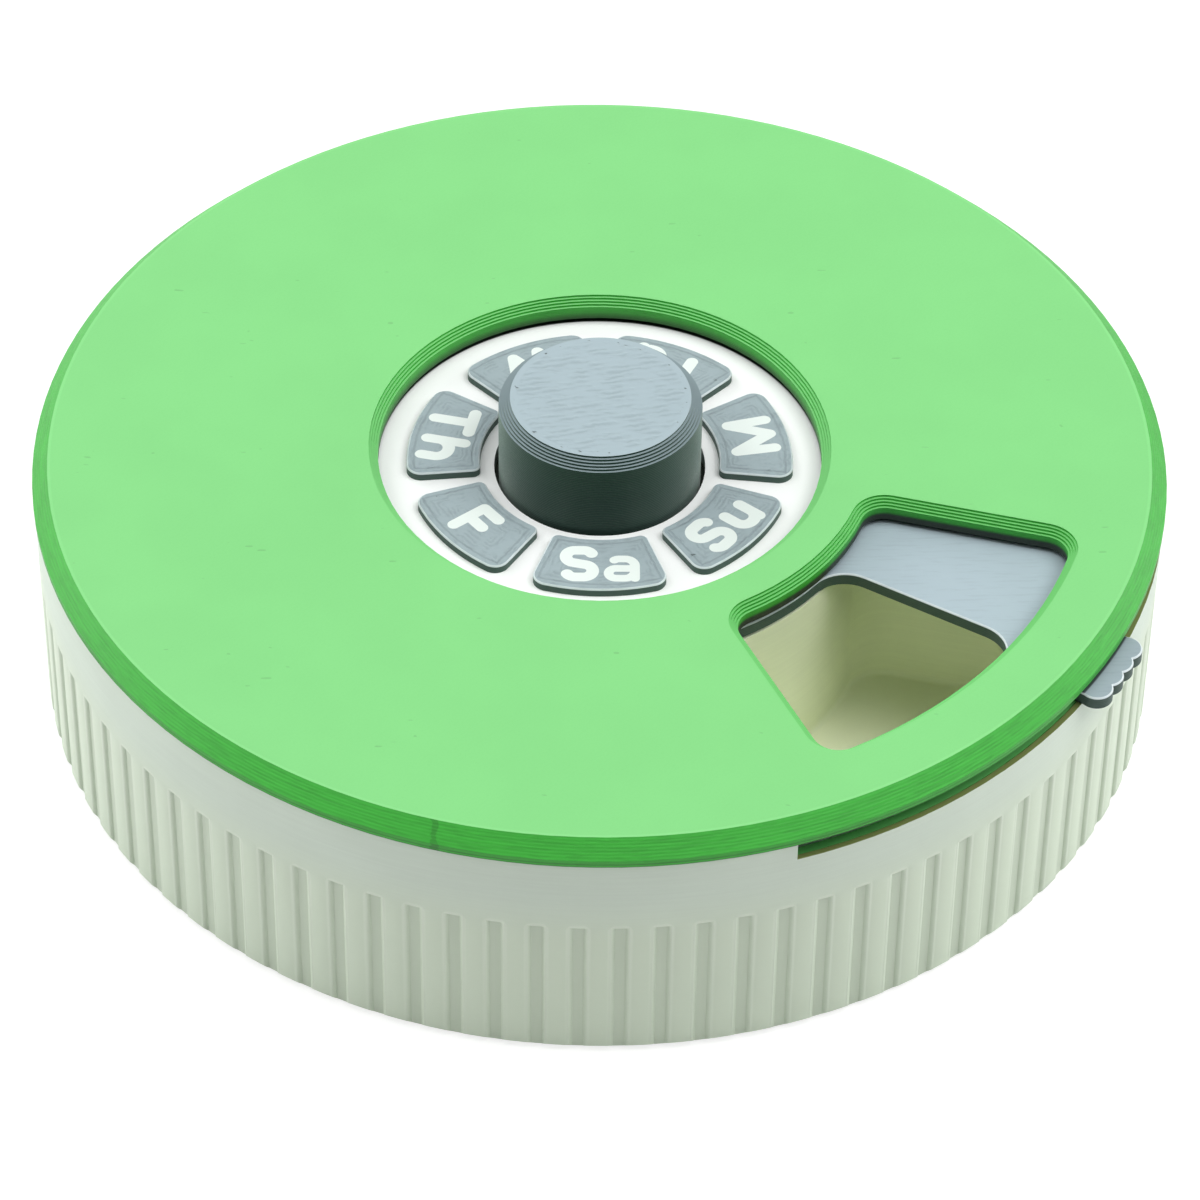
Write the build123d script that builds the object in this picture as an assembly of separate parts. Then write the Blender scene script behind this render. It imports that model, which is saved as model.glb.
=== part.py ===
from build123d import *
import math
import os

os.makedirs("parts", exist_ok=True)

# A weekly pill organizer: a round drum with a lid, a seven-compartment carousel turned by a
# knob, and a flat shutter that a lever slides under the window in the lid.
# Millimetres, +Z up. The origin is the middle of the drum's flat underside, on the common
# axis of the carousel and the shutter. Angles are in degrees, counted anticlockwise from
# the front, which is -Y.

# Sizes of the whole object
lid_radius = 50.0
lid_top_z = 24.4
day_count = 7
day_step = 360 / day_count
layer = 0.2
overrun = 1.0

# Lid
lid_thickness = 2.1
lid_edge_chamfer = 1.4
lid_hole_radius = 19.6
lid_hole_layers = 4
window_angle = day_step
window_half_angle = 25.13
window_inner_radius = 24.45
window_rim = 7.3
window_corner_radius = 2.2
window_layers = 4
tongue_thickness = 0.8
tongue_depth = 2.9
snap_count = 4
snap_width_angle = 8.0
snap_reach = 0.25
snap_drop = 1.0
snap_end_angle = 30.0

# Base
lid_overhang = 0.1
rim_wall = 0.5
groove_clearance = 0.1
ledge_width = 1.6
base_floor = 1.6
base_foot_chamfer = 0.6
flute_count = 90
flute_start_angle = -0.71
flute_floor_width = 0.9
flute_depth = 0.28
flute_edge_radius = 0.6
flute_edge_lift = 0.02
flute_band = 7.6
notch_drop = 0.1
notch_end_angle = 1.16

# Shutter
shutter_headroom = 0.5
shutter_thickness = 1.2
shutter_fit = 0.08
shutter_slide_gap = 0.1
shutter_deck_gap = 0.4
shutter_rest_turn = -16.7
opening_rim = 6.02
opening_side_inset = 0.7
opening_corner_radius = 3.2
shutter_edge_round = 0.2
arm_lead_angle = 26.2
arm_slot_gap = 0.2
arm_side_inset = 0.05
grip_reach = 1.9
lobe_count = 4
lobe_radius = 1.44
lobe_step_angle = 2.12

# Carousel
carousel_shutter_gap = 0.3
carousel_side_gap = 0.5
carousel_lift = 0.4
carousel_wall = 1.2
carousel_floor = 1.5
divider_thickness = 1.2
cell_inner_radius = 24.15
cell_corner_radius = 3.5
cell_floor_fillet = 0.6
relief_half_width = 4.0
relief_depth = 7.0
hub_web_z = 10.0
hub_web = 2.0

# Spindle on the base, with the thrust ring round it
spindle_radius = 5.0
spindle_fit = 0.06
spindle_wall = 1.4
spindle_end_gap = 0.3
thrust_gap = 0.05
thrust_inner_radius = 6.5
thrust_outer_radius = 9.0

# Deck and day tiles
deck_radius = 21.6
deck_thickness = 1.5
tile_height = 0.8
tile_sink = 0.6
deck_turn_angle = 1.2
tile_inner_radius = 10.6
tile_outer_radius = 17.1
tile_middle_radius = 13.0
tile_middle_half_width = 5.1
tile_side_angle = 19.0
tile_inner_corner = 0.7
tile_outer_corner = 1.3
tile_edge_round = 0.2

# Day letters, laid flush into the tiles
letter_height = 4.5
letter_stroke = 1.1
letter_gap = 0.4
letter_middle_radius = 13.8
letter_depth = 0.4

# Knob
knob_radius = 8.95
knob_height = 8.0
knob_layers = 5
knob_deck_gap = 0.4
stem_flats = 8.0
stem_fit = 0.1
stem_end_gap = 0.1

# Screw and washer that hold the knob to the carousel
screw_radius = 1.5
screw_length = 12.0
screw_head_radius = 2.8
screw_head_height = 1.9
screw_key_flats = 2.0
screw_key_depth = 1.1
screw_hole_clearance = 0.2
screw_end_gap = 0.6
washer_radius = 3.2
washer_thickness = 0.5

# Index ball, its spring and the boss that holds them
index_circle_radius = 16.5
index_angle = 0.0
ball_radius = 1.5
ball_gap = 0.05
dimple_radius = 1.7
dimple_depth = 0.5
boss_wall = 1.2
boss_bore_clearance = 0.1
boss_top_gap = 1.1
spring_wire_radius = 0.2
spring_coil_radius = 1.15
spring_turns = 4

# Heights that follow from the sizes above
lid_bottom_z = lid_top_z - lid_thickness
shutter_top_z = lid_bottom_z - shutter_headroom
shutter_bottom_z = shutter_top_z - shutter_thickness
ledge_z = shutter_bottom_z - shutter_slide_gap
notch_floor_z = shutter_bottom_z - notch_drop
arm_slot_z = shutter_bottom_z - arm_slot_gap
tongue_bottom_z = lid_bottom_z - tongue_depth
groove_bottom_z = tongue_bottom_z - groove_clearance
carousel_top_z = shutter_bottom_z - carousel_shutter_gap
carousel_bottom_z = base_floor + carousel_lift
cell_floor_z = carousel_bottom_z + carousel_floor
relief_top_z = carousel_bottom_z + relief_depth
deck_top_z = carousel_top_z + deck_thickness
tile_top_z = deck_top_z + tile_height
tile_bottom_z = deck_top_z - tile_sink
knob_top_z = deck_top_z + knob_height
socket_floor_z = hub_web_z + hub_web
flute_top_z = lid_bottom_z - flute_band

# Radii that follow from the sizes above
base_radius = lid_radius - lid_overhang
window_outer_radius = lid_radius - window_rim
groove_outer_radius = base_radius - rim_wall
tongue_outer_radius = groove_outer_radius - groove_clearance
tongue_inner_radius = tongue_outer_radius - tongue_thickness
groove_inner_radius = tongue_inner_radius - groove_clearance
base_inner_radius = groove_inner_radius - ledge_width
carousel_radius = base_inner_radius - carousel_side_gap
cell_outer_radius = carousel_radius - carousel_wall
shutter_outer_radius = tongue_inner_radius - shutter_fit
shutter_inner_radius = deck_radius + shutter_deck_gap
opening_outer_radius = shutter_outer_radius - opening_rim
grip_radius = lid_radius + grip_reach
deck_hole_radius = knob_radius + knob_deck_gap
relief_inner_radius = index_circle_radius - relief_half_width
relief_outer_radius = index_circle_radius + relief_half_width
hub_bore_radius = spindle_radius + spindle_fit
socket_flats = stem_flats + 2 * stem_fit
boss_bore_radius = ball_radius + boss_bore_clearance
boss_radius = boss_bore_radius + boss_wall
lobe_place = grip_radius - lobe_radius
letter_span = letter_height - letter_stroke

# Angles that follow: where the shutter's opening and lever lie in the photographed pose,
# and how far the lever swings from shut to open
opening_angle = window_angle + shutter_rest_turn
arm_angle = opening_angle + arm_lead_angle
lobe_half_angle = math.degrees(math.asin(lobe_radius / lobe_place))
arm_half_angle = lobe_step_angle * (lobe_count - 1) / 2 + lobe_half_angle
open_travel = -shutter_rest_turn
shut_travel = open_travel - day_step
notch_start = arm_angle + shut_travel - arm_half_angle - notch_end_angle
notch_end = arm_angle + open_travel + arm_half_angle + notch_end_angle


def facing(angle):
    """Turn something made along +X to the given angle from the front."""
    return Rot(0, 0, angle - 90)


def disc(radius, bottom, top):
    """Upright cylinder on the main axis between two heights."""
    body = Cylinder(radius, top - bottom, align=(Align.CENTER, Align.CENTER, Align.MIN))
    return Pos(0, 0, bottom) * body


def ring(inner, outer, bottom, top):
    """Upright tube on the main axis between two heights."""
    return disc(outer, bottom, top) - disc(inner, bottom, top)


def slab(outline, bottom, top):
    """Straight prism of a flat outline between two heights."""
    return extrude(Pos(0, 0, bottom) * outline, amount=top - bottom)


def sector_corner(radius, half_angle, inset):
    """Corner of a sector about +X whose side lies an inset inside its radial line."""
    along = math.sqrt(radius ** 2 - inset ** 2)
    cosine = math.cos(math.radians(half_angle))
    sine = math.sin(math.radians(half_angle))
    return (along * cosine + inset * sine, along * sine - inset * cosine)


def sector(inner, outer, half_angle, inset, corner):
    """Flat rounded piece of a ring, symmetric about +X, as the window and compartments are."""
    inner_x, inner_y = sector_corner(inner, half_angle, inset)
    outer_x, outer_y = sector_corner(outer, half_angle, inset)
    inner_arc = ThreePointArc((inner_x, -inner_y), (inner, 0), (inner_x, inner_y))
    outer_arc = ThreePointArc((outer_x, -outer_y), (outer, 0), (outer_x, outer_y))
    low_side = Line((inner_x, -inner_y), (outer_x, -outer_y))
    high_side = Line((inner_x, inner_y), (outer_x, outer_y))
    outline = make_face([inner_arc, high_side, outer_arc, low_side])
    return fillet(outline.vertices(), corner)


def arc_block(inner, outer, bottom, top, start, end):
    """Plain piece of a ring between two angles from the front."""
    across = Pos(inner, 0, bottom) * Rot(90, 0, 0) * Rectangle(
        outer - inner, top - bottom, align=(Align.MIN, Align.MIN)
    )
    swept = revolve(across, axis=Axis.Z, revolution_arc=end - start)
    return facing(start) * swept


def stepped_disc(radius, bottom, top, layers):
    """Disc whose upper edge is a 45 degree chamfer, as printed layers make it."""
    body = disc(radius, bottom, top - layers * layer)
    for step in range(layers):
        step_bottom = top - (layers - step) * layer
        step_radius = radius - (step + 1) * layer
        body += disc(step_radius, step_bottom, step_bottom + layer)
    return body


def snap_wedge(reach, angle, width_angle, root_radius, middle_z):
    """Short ridge of triangular section on a round wall."""
    section = Polyline(
        (root_radius, 0, middle_z - reach),
        (root_radius + reach, 0, middle_z),
        (root_radius, 0, middle_z + reach),
        close=True,
    )
    swept = revolve(make_face(section), axis=Axis.Z, revolution_arc=width_angle)
    return facing(angle - width_angle / 2) * swept


def snap_angles():
    """Places of the lid's snap ridges, spread over the rim that the notch leaves whole."""
    first = notch_end + snap_end_angle
    last = notch_start + 360 - snap_end_angle
    step = (last - first) / (snap_count - 1)
    return [first + index * step for index in range(snap_count)]


def build_lid():
    body = disc(lid_radius, lid_bottom_z, lid_top_z)
    body = chamfer(body.edges().group_by(Axis.Z)[-1], lid_edge_chamfer)
    body -= disc(lid_hole_radius, lid_bottom_z - overrun, lid_top_z + overrun)
    for step in range(lid_hole_layers):
        step_z = lid_top_z - (lid_hole_layers - step) * layer
        body -= disc(lid_hole_radius + (step + 1) * layer, step_z, lid_top_z + overrun)
    for step in range(window_layers + 1):
        spread = step * layer
        outline = sector(
            window_inner_radius - spread,
            window_outer_radius + spread,
            window_half_angle,
            (window_layers - step) * layer,
            window_corner_radius + spread,
        )
        step_z = lid_top_z - (window_layers + 1 - step) * layer
        bottom = step_z if step else lid_bottom_z - overrun
        body -= facing(window_angle) * slab(outline, bottom, lid_top_z + overrun)
    tongue = ring(tongue_inner_radius, tongue_outer_radius, tongue_bottom_z, lid_bottom_z)
    tongue -= arc_block(
        tongue_inner_radius - overrun,
        tongue_outer_radius + overrun,
        arm_slot_z,
        lid_bottom_z + overrun,
        notch_start,
        notch_end,
    )
    body += tongue
    for angle in snap_angles():
        middle_z = lid_bottom_z - snap_drop
        body += snap_wedge(snap_reach, angle, snap_width_angle, tongue_outer_radius, middle_z)
    return body


def flute_outline(start, reach):
    """Half section of a flute: its floor up to the reach, then a round shoulder outwards."""
    floor_x = base_radius - flute_depth
    mouth_x = base_radius + flute_edge_lift
    round_x = mouth_x - flute_edge_radius
    outside_x = base_radius + overrun
    lean = math.acos((floor_x - round_x) / flute_edge_radius)
    mouth = reach + flute_edge_radius * math.sin(lean)
    lean_angle = math.degrees(lean)
    floor_line = Line((floor_x, start), (floor_x, reach))
    shoulder = CenterArc((round_x, mouth), flute_edge_radius, -lean_angle, lean_angle)
    rest = Polyline((mouth_x, mouth), (outside_x, mouth), (outside_x, start), (floor_x, start))
    return make_face([floor_line, shoulder, *rest.edges()])


def flute_cutter():
    """Upright flute at +X, with a flat floor and round shoulders beside and above it."""
    half_floor = flute_floor_width / 2
    half_plan = flute_outline(0, half_floor)
    plan = half_plan + mirror(half_plan, about=Plane.XZ)
    upright = slab(plan, -overrun, flute_top_z + flute_edge_radius + overrun)
    side = Rot(90, 0, 0) * flute_outline(-overrun, flute_top_z)
    return upright & extrude(side, amount=flute_floor_width + overrun, both=True)


def build_base():
    body = disc(base_radius, 0, lid_bottom_z)
    body = chamfer(body.edges().group_by(Axis.Z)[0], base_foot_chamfer)
    body -= disc(base_inner_radius, base_floor, lid_bottom_z + overrun)
    body -= disc(groove_outer_radius, ledge_z, lid_bottom_z + overrun)
    body -= ring(groove_inner_radius, groove_outer_radius, groove_bottom_z, lid_bottom_z)
    body -= arc_block(
        groove_inner_radius,
        base_radius + overrun,
        notch_floor_z,
        lid_bottom_z + overrun,
        notch_start,
        notch_end,
    )
    for angle in snap_angles():
        middle_z = lid_bottom_z - snap_drop
        root = groove_outer_radius - groove_clearance
        width = snap_width_angle + math.degrees(2 * groove_clearance / base_radius)
        recess = snap_wedge(snap_reach + 2 * groove_clearance, angle, width, root, middle_z)
        body -= recess
    flute = flute_cutter()
    flutes = [
        facing(flute_start_angle + index * 360 / flute_count) * flute
        for index in range(flute_count)
    ]
    body -= flutes
    body += ring(
        spindle_radius - spindle_wall, spindle_radius, base_floor, hub_web_z - spindle_end_gap
    )
    thrust_top = carousel_bottom_z - thrust_gap
    body += ring(thrust_inner_radius, thrust_outer_radius, base_floor, thrust_top)
    boss = disc(boss_radius, base_floor, relief_top_z - boss_top_gap)
    boss -= disc(boss_bore_radius, base_floor, relief_top_z)
    body += facing(index_angle) * Pos(index_circle_radius, 0, 0) * boss
    return body


def build_shutter():
    body = ring(shutter_inner_radius, shutter_outer_radius, shutter_bottom_z, shutter_top_z)
    opening = sector(
        cell_inner_radius,
        opening_outer_radius,
        day_step / 2,
        opening_side_inset,
        opening_corner_radius,
    )
    cutter = slab(opening, shutter_bottom_z - overrun, shutter_top_z + overrun)
    body -= facing(opening_angle) * cutter
    body = fillet(body.edges().group_by(Axis.Z)[-1], shutter_edge_round)
    return body + build_arm()


def build_arm():
    """Lever of the shutter, with finger lobes at its end."""
    side_angle = math.degrees(arm_side_inset / lobe_place)
    arm = arc_block(
        shutter_outer_radius - overrun,
        lobe_place,
        shutter_bottom_z,
        shutter_top_z,
        arm_angle - arm_half_angle + side_angle,
        arm_angle + arm_half_angle - side_angle,
    )
    for index in range(lobe_count):
        angle = arm_angle + (index - (lobe_count - 1) / 2) * lobe_step_angle
        lobe = Pos(lobe_place, 0, 0) * disc(lobe_radius, shutter_bottom_z, shutter_top_z)
        arm += facing(angle) * lobe
    return fillet(arm.edges().group_by(Axis.Z)[-1], shutter_edge_round)


def build_carousel():
    body = disc(carousel_radius, carousel_bottom_z, carousel_top_z)
    outline = sector(
        cell_inner_radius,
        cell_outer_radius,
        day_step / 2,
        divider_thickness / 2,
        cell_corner_radius,
    )
    cell = slab(outline, cell_floor_z, carousel_top_z)
    cell = fillet(cell.edges().group_by(Axis.Z)[0], cell_floor_fillet)
    cell += slab(outline, carousel_top_z - layer, carousel_top_z + overrun)
    dimple_place = relief_top_z + dimple_depth - dimple_radius
    dimple = Pos(index_circle_radius, 0, dimple_place) * Sphere(dimple_radius)
    body -= ring(
        relief_inner_radius, relief_outer_radius, carousel_bottom_z - overrun, relief_top_z
    )
    for index in range(day_count):
        body -= facing(index * day_step) * cell
        body -= facing(index_angle + index * day_step) * dimple
    body -= disc(hub_bore_radius, carousel_bottom_z - overrun, hub_web_z)
    body -= disc(screw_radius + screw_hole_clearance, hub_web_z, socket_floor_z)
    body -= hexagon_bar(socket_flats, socket_floor_z, carousel_top_z + overrun)
    return body


def hexagon_bar(flats, bottom, top):
    """Upright six-sided bar on the main axis, sized across its flats."""
    return slab(RegularPolygon(flats / 2, 6, major_radius=False), bottom, top)


def tile_outline():
    """Day tile seen from above, about +X: two arcs and two straight sides."""
    slope = math.tan(math.radians(tile_side_angle))

    def corner(radius):
        # The side is the line y = reach + slope * x, and the corner lies on it at the radius.
        reach = tile_middle_half_width - slope * tile_middle_radius
        square = 1 + slope ** 2
        root = math.sqrt((slope * reach) ** 2 - square * (reach ** 2 - radius ** 2))
        along = (root - slope * reach) / square
        return (along, reach + slope * along)

    inner_x, inner_y = corner(tile_inner_radius)
    outer_x, outer_y = corner(tile_outer_radius)
    inner_arc = ThreePointArc((inner_x, -inner_y), (tile_inner_radius, 0), (inner_x, inner_y))
    outer_arc = ThreePointArc((outer_x, -outer_y), (tile_outer_radius, 0), (outer_x, outer_y))
    low_side = Line((inner_x, -inner_y), (outer_x, -outer_y))
    high_side = Line((inner_x, inner_y), (outer_x, outer_y))
    outline = make_face([inner_arc, high_side, outer_arc, low_side])
    outline = fillet(outline.vertices().group_by(Axis.X)[0], tile_inner_corner)
    return fillet(outline.vertices().group_by(Axis.X)[-1], tile_outer_corner)


# Letter forms. Each is a list of strokes: a line holds its two ends, and an arc holds its
# middle, its radius, its first angle and its turn. Lengths are shares of the height of a
# capital's centre line, counted from the foot of the letter and from its middle. The first
# entry is half the width of the letter's centre lines, and the second is the share of the
# full stroke that it is drawn with. The S is made by a function.
s_bowl_share = 0.235
s_shift_share = 0.105
s_end_angle = 30.0


def s_strokes():
    """The letter S: two bowls joined by the slanting line that touches both."""
    low_y = s_bowl_share
    high_y = 1 - s_bowl_share
    lean = math.degrees(math.atan2(high_y - low_y, 2 * s_shift_share))
    spacing = math.hypot(high_y - low_y, 2 * s_shift_share)
    touch = 360 - lean - math.degrees(math.acos(2 * s_bowl_share / spacing))
    slant_x = s_shift_share - s_bowl_share * math.cos(math.radians(touch))
    slant_y = low_y - s_bowl_share * math.sin(math.radians(touch))
    return [
        ("arc", s_shift_share, high_y, s_bowl_share, s_end_angle, 90 - s_end_angle),
        ("line", s_shift_share, 1, -s_shift_share, 1),
        ("arc", -s_shift_share, high_y, s_bowl_share, 90, touch - 90),
        ("line", -slant_x, 1 - slant_y, slant_x, slant_y),
        ("arc", s_shift_share, low_y, s_bowl_share, touch - 180, 90 - touch),
        ("line", s_shift_share, 0, -s_shift_share, 0),
        ("arc", -s_shift_share, low_y, s_bowl_share, 270, s_end_angle - 90),
    ]


letter_shares = {
    "S": (s_bowl_share + s_shift_share, 1, s_strokes()),
    "a": (
        0.335,
        0.77,
        [
            ("line", 0.335, -0.037, 0.335, 0.437),
            ("arc", 0.085, 0.437, 0.25, 0, 90),
            ("line", 0.085, 0.687, -0.06, 0.687),
            ("arc", -0.06, 0.487, 0.20, 90, 40),
            ("line", 0.335, 0.33, -0.15, 0.33),
            ("arc", -0.15, 0.1465, 0.1835, 90, 180),
            ("line", -0.15, -0.037, 0.06, -0.037),
            ("arc", 0.06, 0.238, 0.275, 270, 90),
        ],
    ),
    "u": (
        0.30,
        1,
        [
            ("line", -0.30, 0.65, -0.30, 0.28),
            ("arc", -0.02, 0.28, 0.28, 180, 90),
            ("arc", 0.02, 0.28, 0.28, 270, 90),
            ("line", -0.02, 0, 0.02, 0),
            ("line", 0.30, 0.65, 0.30, 0),
        ],
    ),
    "h": (
        0.33,
        1,
        [
            ("line", -0.33, 1, -0.33, 0),
            ("arc", -0.01, 0.33, 0.32, 90, 90),
            ("line", -0.01, 0.65, 0.01, 0.65),
            ("arc", 0.01, 0.33, 0.32, 0, 90),
            ("line", 0.33, 0.33, 0.33, 0),
        ],
    ),
    "M": (
        0.56,
        1,
        [
            ("line", -0.56, 0, -0.52, 1),
            ("line", -0.52, 1, 0, 0),
            ("line", 0, 0, 0.52, 1),
            ("line", 0.52, 1, 0.56, 0),
        ],
    ),
    "T": (0.38, 1, [("line", -0.38, 1, 0.38, 1), ("line", 0, 1, 0, 0)]),
    "W": (
        0.66,
        1,
        [
            ("line", -0.66, 1, -0.35, 0),
            ("line", -0.35, 0, 0, 0.92),
            ("line", 0, 0.92, 0.35, 0),
            ("line", 0.35, 0, 0.66, 1),
        ],
    ),
    "F": (
        0.29,
        1,
        [
            ("line", -0.29, 0, -0.29, 1),
            ("line", -0.29, 1, 0.29, 1),
            ("line", -0.29, 0.50, 0.25, 0.50),
        ],
    ),
}

day_labels = {
    "saturday": "Sa",
    "sunday": "Su",
    "monday": "M",
    "tuesday": "Tu",
    "wednesday": "W",
    "thursday": "Th",
    "friday": "F",
}


def line_stroke(width, start, end):
    """Straight stroke with round ends."""
    run = Vector(*end) - Vector(*start)
    middle = (Vector(*end) + Vector(*start)) / 2
    lean = math.degrees(math.atan2(run.Y, run.X))
    bar = Pos(middle.X, middle.Y) * Rot(0, 0, lean) * Rectangle(run.length, width)
    return bar + Pos(*start) * Circle(width / 2) + Pos(*end) * Circle(width / 2)


def arc_stroke(width, middle, radius, start, turn):
    """Round stroke with round ends."""
    outer = CenterArc(middle, radius + width / 2, start, turn)
    inner = CenterArc(middle, radius - width / 2, start, turn)
    band = make_face([outer, Line(outer @ 0, inner @ 0), inner, Line(outer @ 1, inner @ 1)])
    spine = CenterArc(middle, radius, start, turn)
    first = Pos(spine @ 0) * Circle(width / 2)
    last = Pos(spine @ 1) * Circle(width / 2)
    return band + first + last


def letter(name, offset):
    """Solid letter, lying flat with its foot's middle at the offset along X."""
    shape = None
    stroke_share, strokes = letter_shares[name][1:]
    width = letter_stroke * stroke_share
    for kind, *values in strokes:
        if kind == "line":
            x0, y0, x1, y1 = [value * letter_span for value in values]
            stroke = line_stroke(width, (x0 + offset, y0), (x1 + offset, y1))
        else:
            mid_x, mid_y, radius, start, turn = values
            middle = (mid_x * letter_span + offset, mid_y * letter_span)
            stroke = arc_stroke(width, middle, radius * letter_span, start, turn)
        solid = slab(stroke, tile_top_z - letter_depth, tile_top_z)
        shape = solid if shape is None else shape + solid
    return shape


def word(text):
    """The letters of one day, side by side and centred, tops towards the main axis."""
    widths = [
        2 * letter_shares[name][0] * letter_span + letter_shares[name][1] * letter_stroke
        for name in text
    ]
    total = sum(widths) + letter_gap * (len(text) - 1)
    letters = []
    left = -total / 2
    for name, width in zip(text, widths):
        letters.append(letter(name, left + width / 2))
        left += width + letter_gap
    seat = Pos(letter_middle_radius, 0, 0) * Rot(0, 0, 90) * Pos(0, -letter_span / 2, 0)
    return [seat * shape for shape in letters]


def build_deck():
    body = ring(deck_hole_radius, deck_radius, carousel_top_z, deck_top_z)
    pocket = slab(tile_outline(), tile_bottom_z, deck_top_z + overrun)
    for index in range(day_count):
        body -= facing(index * day_step + deck_turn_angle) * pocket
    return body


def build_tile(letters):
    body = slab(tile_outline(), tile_bottom_z, tile_top_z)
    body = fillet(body.edges().group_by(Axis.Z)[-1], tile_edge_round)
    for shape in letters:
        body -= shape
    return body


def build_knob():
    body = stepped_disc(knob_radius, carousel_top_z, knob_top_z, knob_layers)
    body += hexagon_bar(stem_flats, socket_floor_z + stem_end_gap, carousel_top_z)
    screw_top = hub_web_z - washer_thickness + screw_length
    body -= disc(screw_radius, socket_floor_z, screw_top + screw_end_gap)
    return body


def build_screw():
    seat_z = hub_web_z - washer_thickness
    body = disc(screw_radius, seat_z, seat_z + screw_length)
    head_bottom = seat_z - screw_head_height
    body += disc(screw_head_radius, head_bottom, seat_z)
    body -= hexagon_bar(screw_key_flats, head_bottom, head_bottom + screw_key_depth)
    return body


def build_washer():
    return ring(screw_radius, washer_radius, hub_web_z - washer_thickness, hub_web_z)


def build_ball():
    middle_z = relief_top_z - ball_gap - ball_radius
    return facing(index_angle) * Pos(index_circle_radius, 0, middle_z) * Sphere(ball_radius)


def build_spring():
    ball_z = relief_top_z - ball_gap - ball_radius
    ball_drop = math.sqrt(ball_radius ** 2 - spring_coil_radius ** 2)
    low = base_floor + spring_wire_radius
    high = ball_z - ball_drop - 2 * spring_wire_radius
    path = Helix((high - low) / spring_turns, high - low, spring_coil_radius)
    section = Plane(origin=path @ 0, z_dir=path % 0) * Circle(spring_wire_radius)
    coil = sweep(section, path=path)
    return facing(index_angle) * Pos(index_circle_radius, 0, low) * coil


nodes = {
    "base": build_base(),
    "lid": build_lid(),
    "shutter": build_shutter(),
    "carousel": build_carousel(),
    "deck": build_deck(),
    "knob": build_knob(),
    "knob_screw": build_screw(),
    "knob_washer": build_washer(),
    "index_ball": build_ball(),
    "index_spring": build_spring(),
}
for index, (day, label) in enumerate(day_labels.items()):
    letters = word(label)
    turn = facing(index * day_step + deck_turn_angle)
    nodes["day_tile_" + day] = turn * build_tile(letters)
    nodes["day_letters_" + day] = Compound(children=[turn * shape for shape in letters])

for name, shape in nodes.items():
    export_step(shape, os.path.join("parts", name + ".step"))
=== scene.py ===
import math

import bpy
from mathutils import Matrix, Vector

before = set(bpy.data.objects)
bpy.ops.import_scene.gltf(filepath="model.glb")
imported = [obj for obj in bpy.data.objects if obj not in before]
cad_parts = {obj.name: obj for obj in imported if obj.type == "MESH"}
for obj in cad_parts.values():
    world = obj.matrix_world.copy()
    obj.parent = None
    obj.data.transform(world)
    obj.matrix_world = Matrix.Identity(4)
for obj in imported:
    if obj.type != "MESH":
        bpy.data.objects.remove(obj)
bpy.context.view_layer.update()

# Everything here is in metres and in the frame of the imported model, apart from the sizes in
# the materials, which are in millimetres because their coordinates are scaled to that.
MM = 0.001

# Camera. The angle is how far it stands round the object from the front, anticlockwise.
CAMERA_TURN = math.radians(0.71)
CAMERA_PLACE = Vector((0.187, -343.8, 326.9)) * MM
CAMERA_TARGET = Vector((0.185, -20.315, 24.4)) * MM
CAMERA_ROLL = math.radians(0.767)
CAMERA_LENS = 155.7
CAMERA_SENSOR = 36.0
CAMERA_NEAR = 0.01
CAMERA_FAR = 50.0

# Lamps: name, angle round from the front, angle up, and power. All have one size and face
# the object from one distance. The world gives no light of its own.
LAMPS = (
    ("lamp_top", 0, 90, 2.4),
    ("lamp_right", 90, 55, 2.6),
    ("lamp_right_front", 45, 55, 0.9),
    ("lamp_right_low", 110, 12, 2.25),
    ("lamp_left", 270, 55, 1.3),
    ("lamp_left_front", 315, 40, 0.25),
    ("lamp_left_low", 264, 12, 2.05),
    ("lamp_back", 225, 25, 2.4),
)
LAMP_SIZE = 0.45
LAMP_DISTANCE = 0.8
LAMP_AIM = Vector((0.0, 0.0, 0.02))
WORLD_LIGHT = 0.0

# Floor: how far it reaches to each side, how far it lies below the object, its colour in the
# light it gives back, and the colour and glow that the camera sees.
FLOOR_REACH = 4.0
FLOOR_DROP = 0.00005
FLOOR_COLOUR = (0.94, 0.94, 0.94)
FLOOR_SEEN = (0.36, 0.36, 0.36)
FLOOR_GLOW = 0.76

# Colours of the prints on faces that look up and on upright faces. The darker upright colours, the
# knob's nearly black one most of all, are painted shade; the pale edge colours are painted
# highlights, and the very dark and olive colours are painted shadow in gaps.
GREEN_UP = (0.205, 0.608, 0.204)
GREEN_SHADED_SIDE = (0.042, 0.412, 0.038)
GREEN_RIM_HIGHLIGHT = (0.290, 0.760, 0.290)
GREY_UP = (0.367, 0.457, 0.494)
SHUTTER_UP = (0.398, 0.492, 0.535)
TILE_UP = (0.330, 0.408, 0.430)
GREY_SHADED_SIDE = (0.062, 0.108, 0.090)
GREY_LIP_HIGHLIGHT = (0.760, 0.840, 0.860)
KNOB_SHADED_SIDE = (0.007, 0.036, 0.025)
IVORY_UP = (0.735, 0.810, 0.735)
IVORY_SHADED_SIDE = (0.680, 0.775, 0.672)
IVORY_LOW = (0.700, 0.795, 0.643)
IVORY_RIM_HIGHLIGHT = (0.830, 0.900, 0.780)
TRAY_UP = (0.920, 0.975, 0.715)
TRAY_SIDE = (0.920, 0.975, 0.730)
WHITE_UP = (0.955, 0.975, 0.965)
WHITE_SHADED_SIDE = (0.800, 0.860, 0.820)
LETTER_UP = (0.770, 0.845, 0.805)
PAINTED_GAP_SHADOW = (0.012, 0.022, 0.014)
NOTCH_SHADE_OLIVE = (0.230, 0.270, 0.090)
STEEL = (0.560, 0.570, 0.580)
STEEL_WORN_SHARE = 0.86

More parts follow.
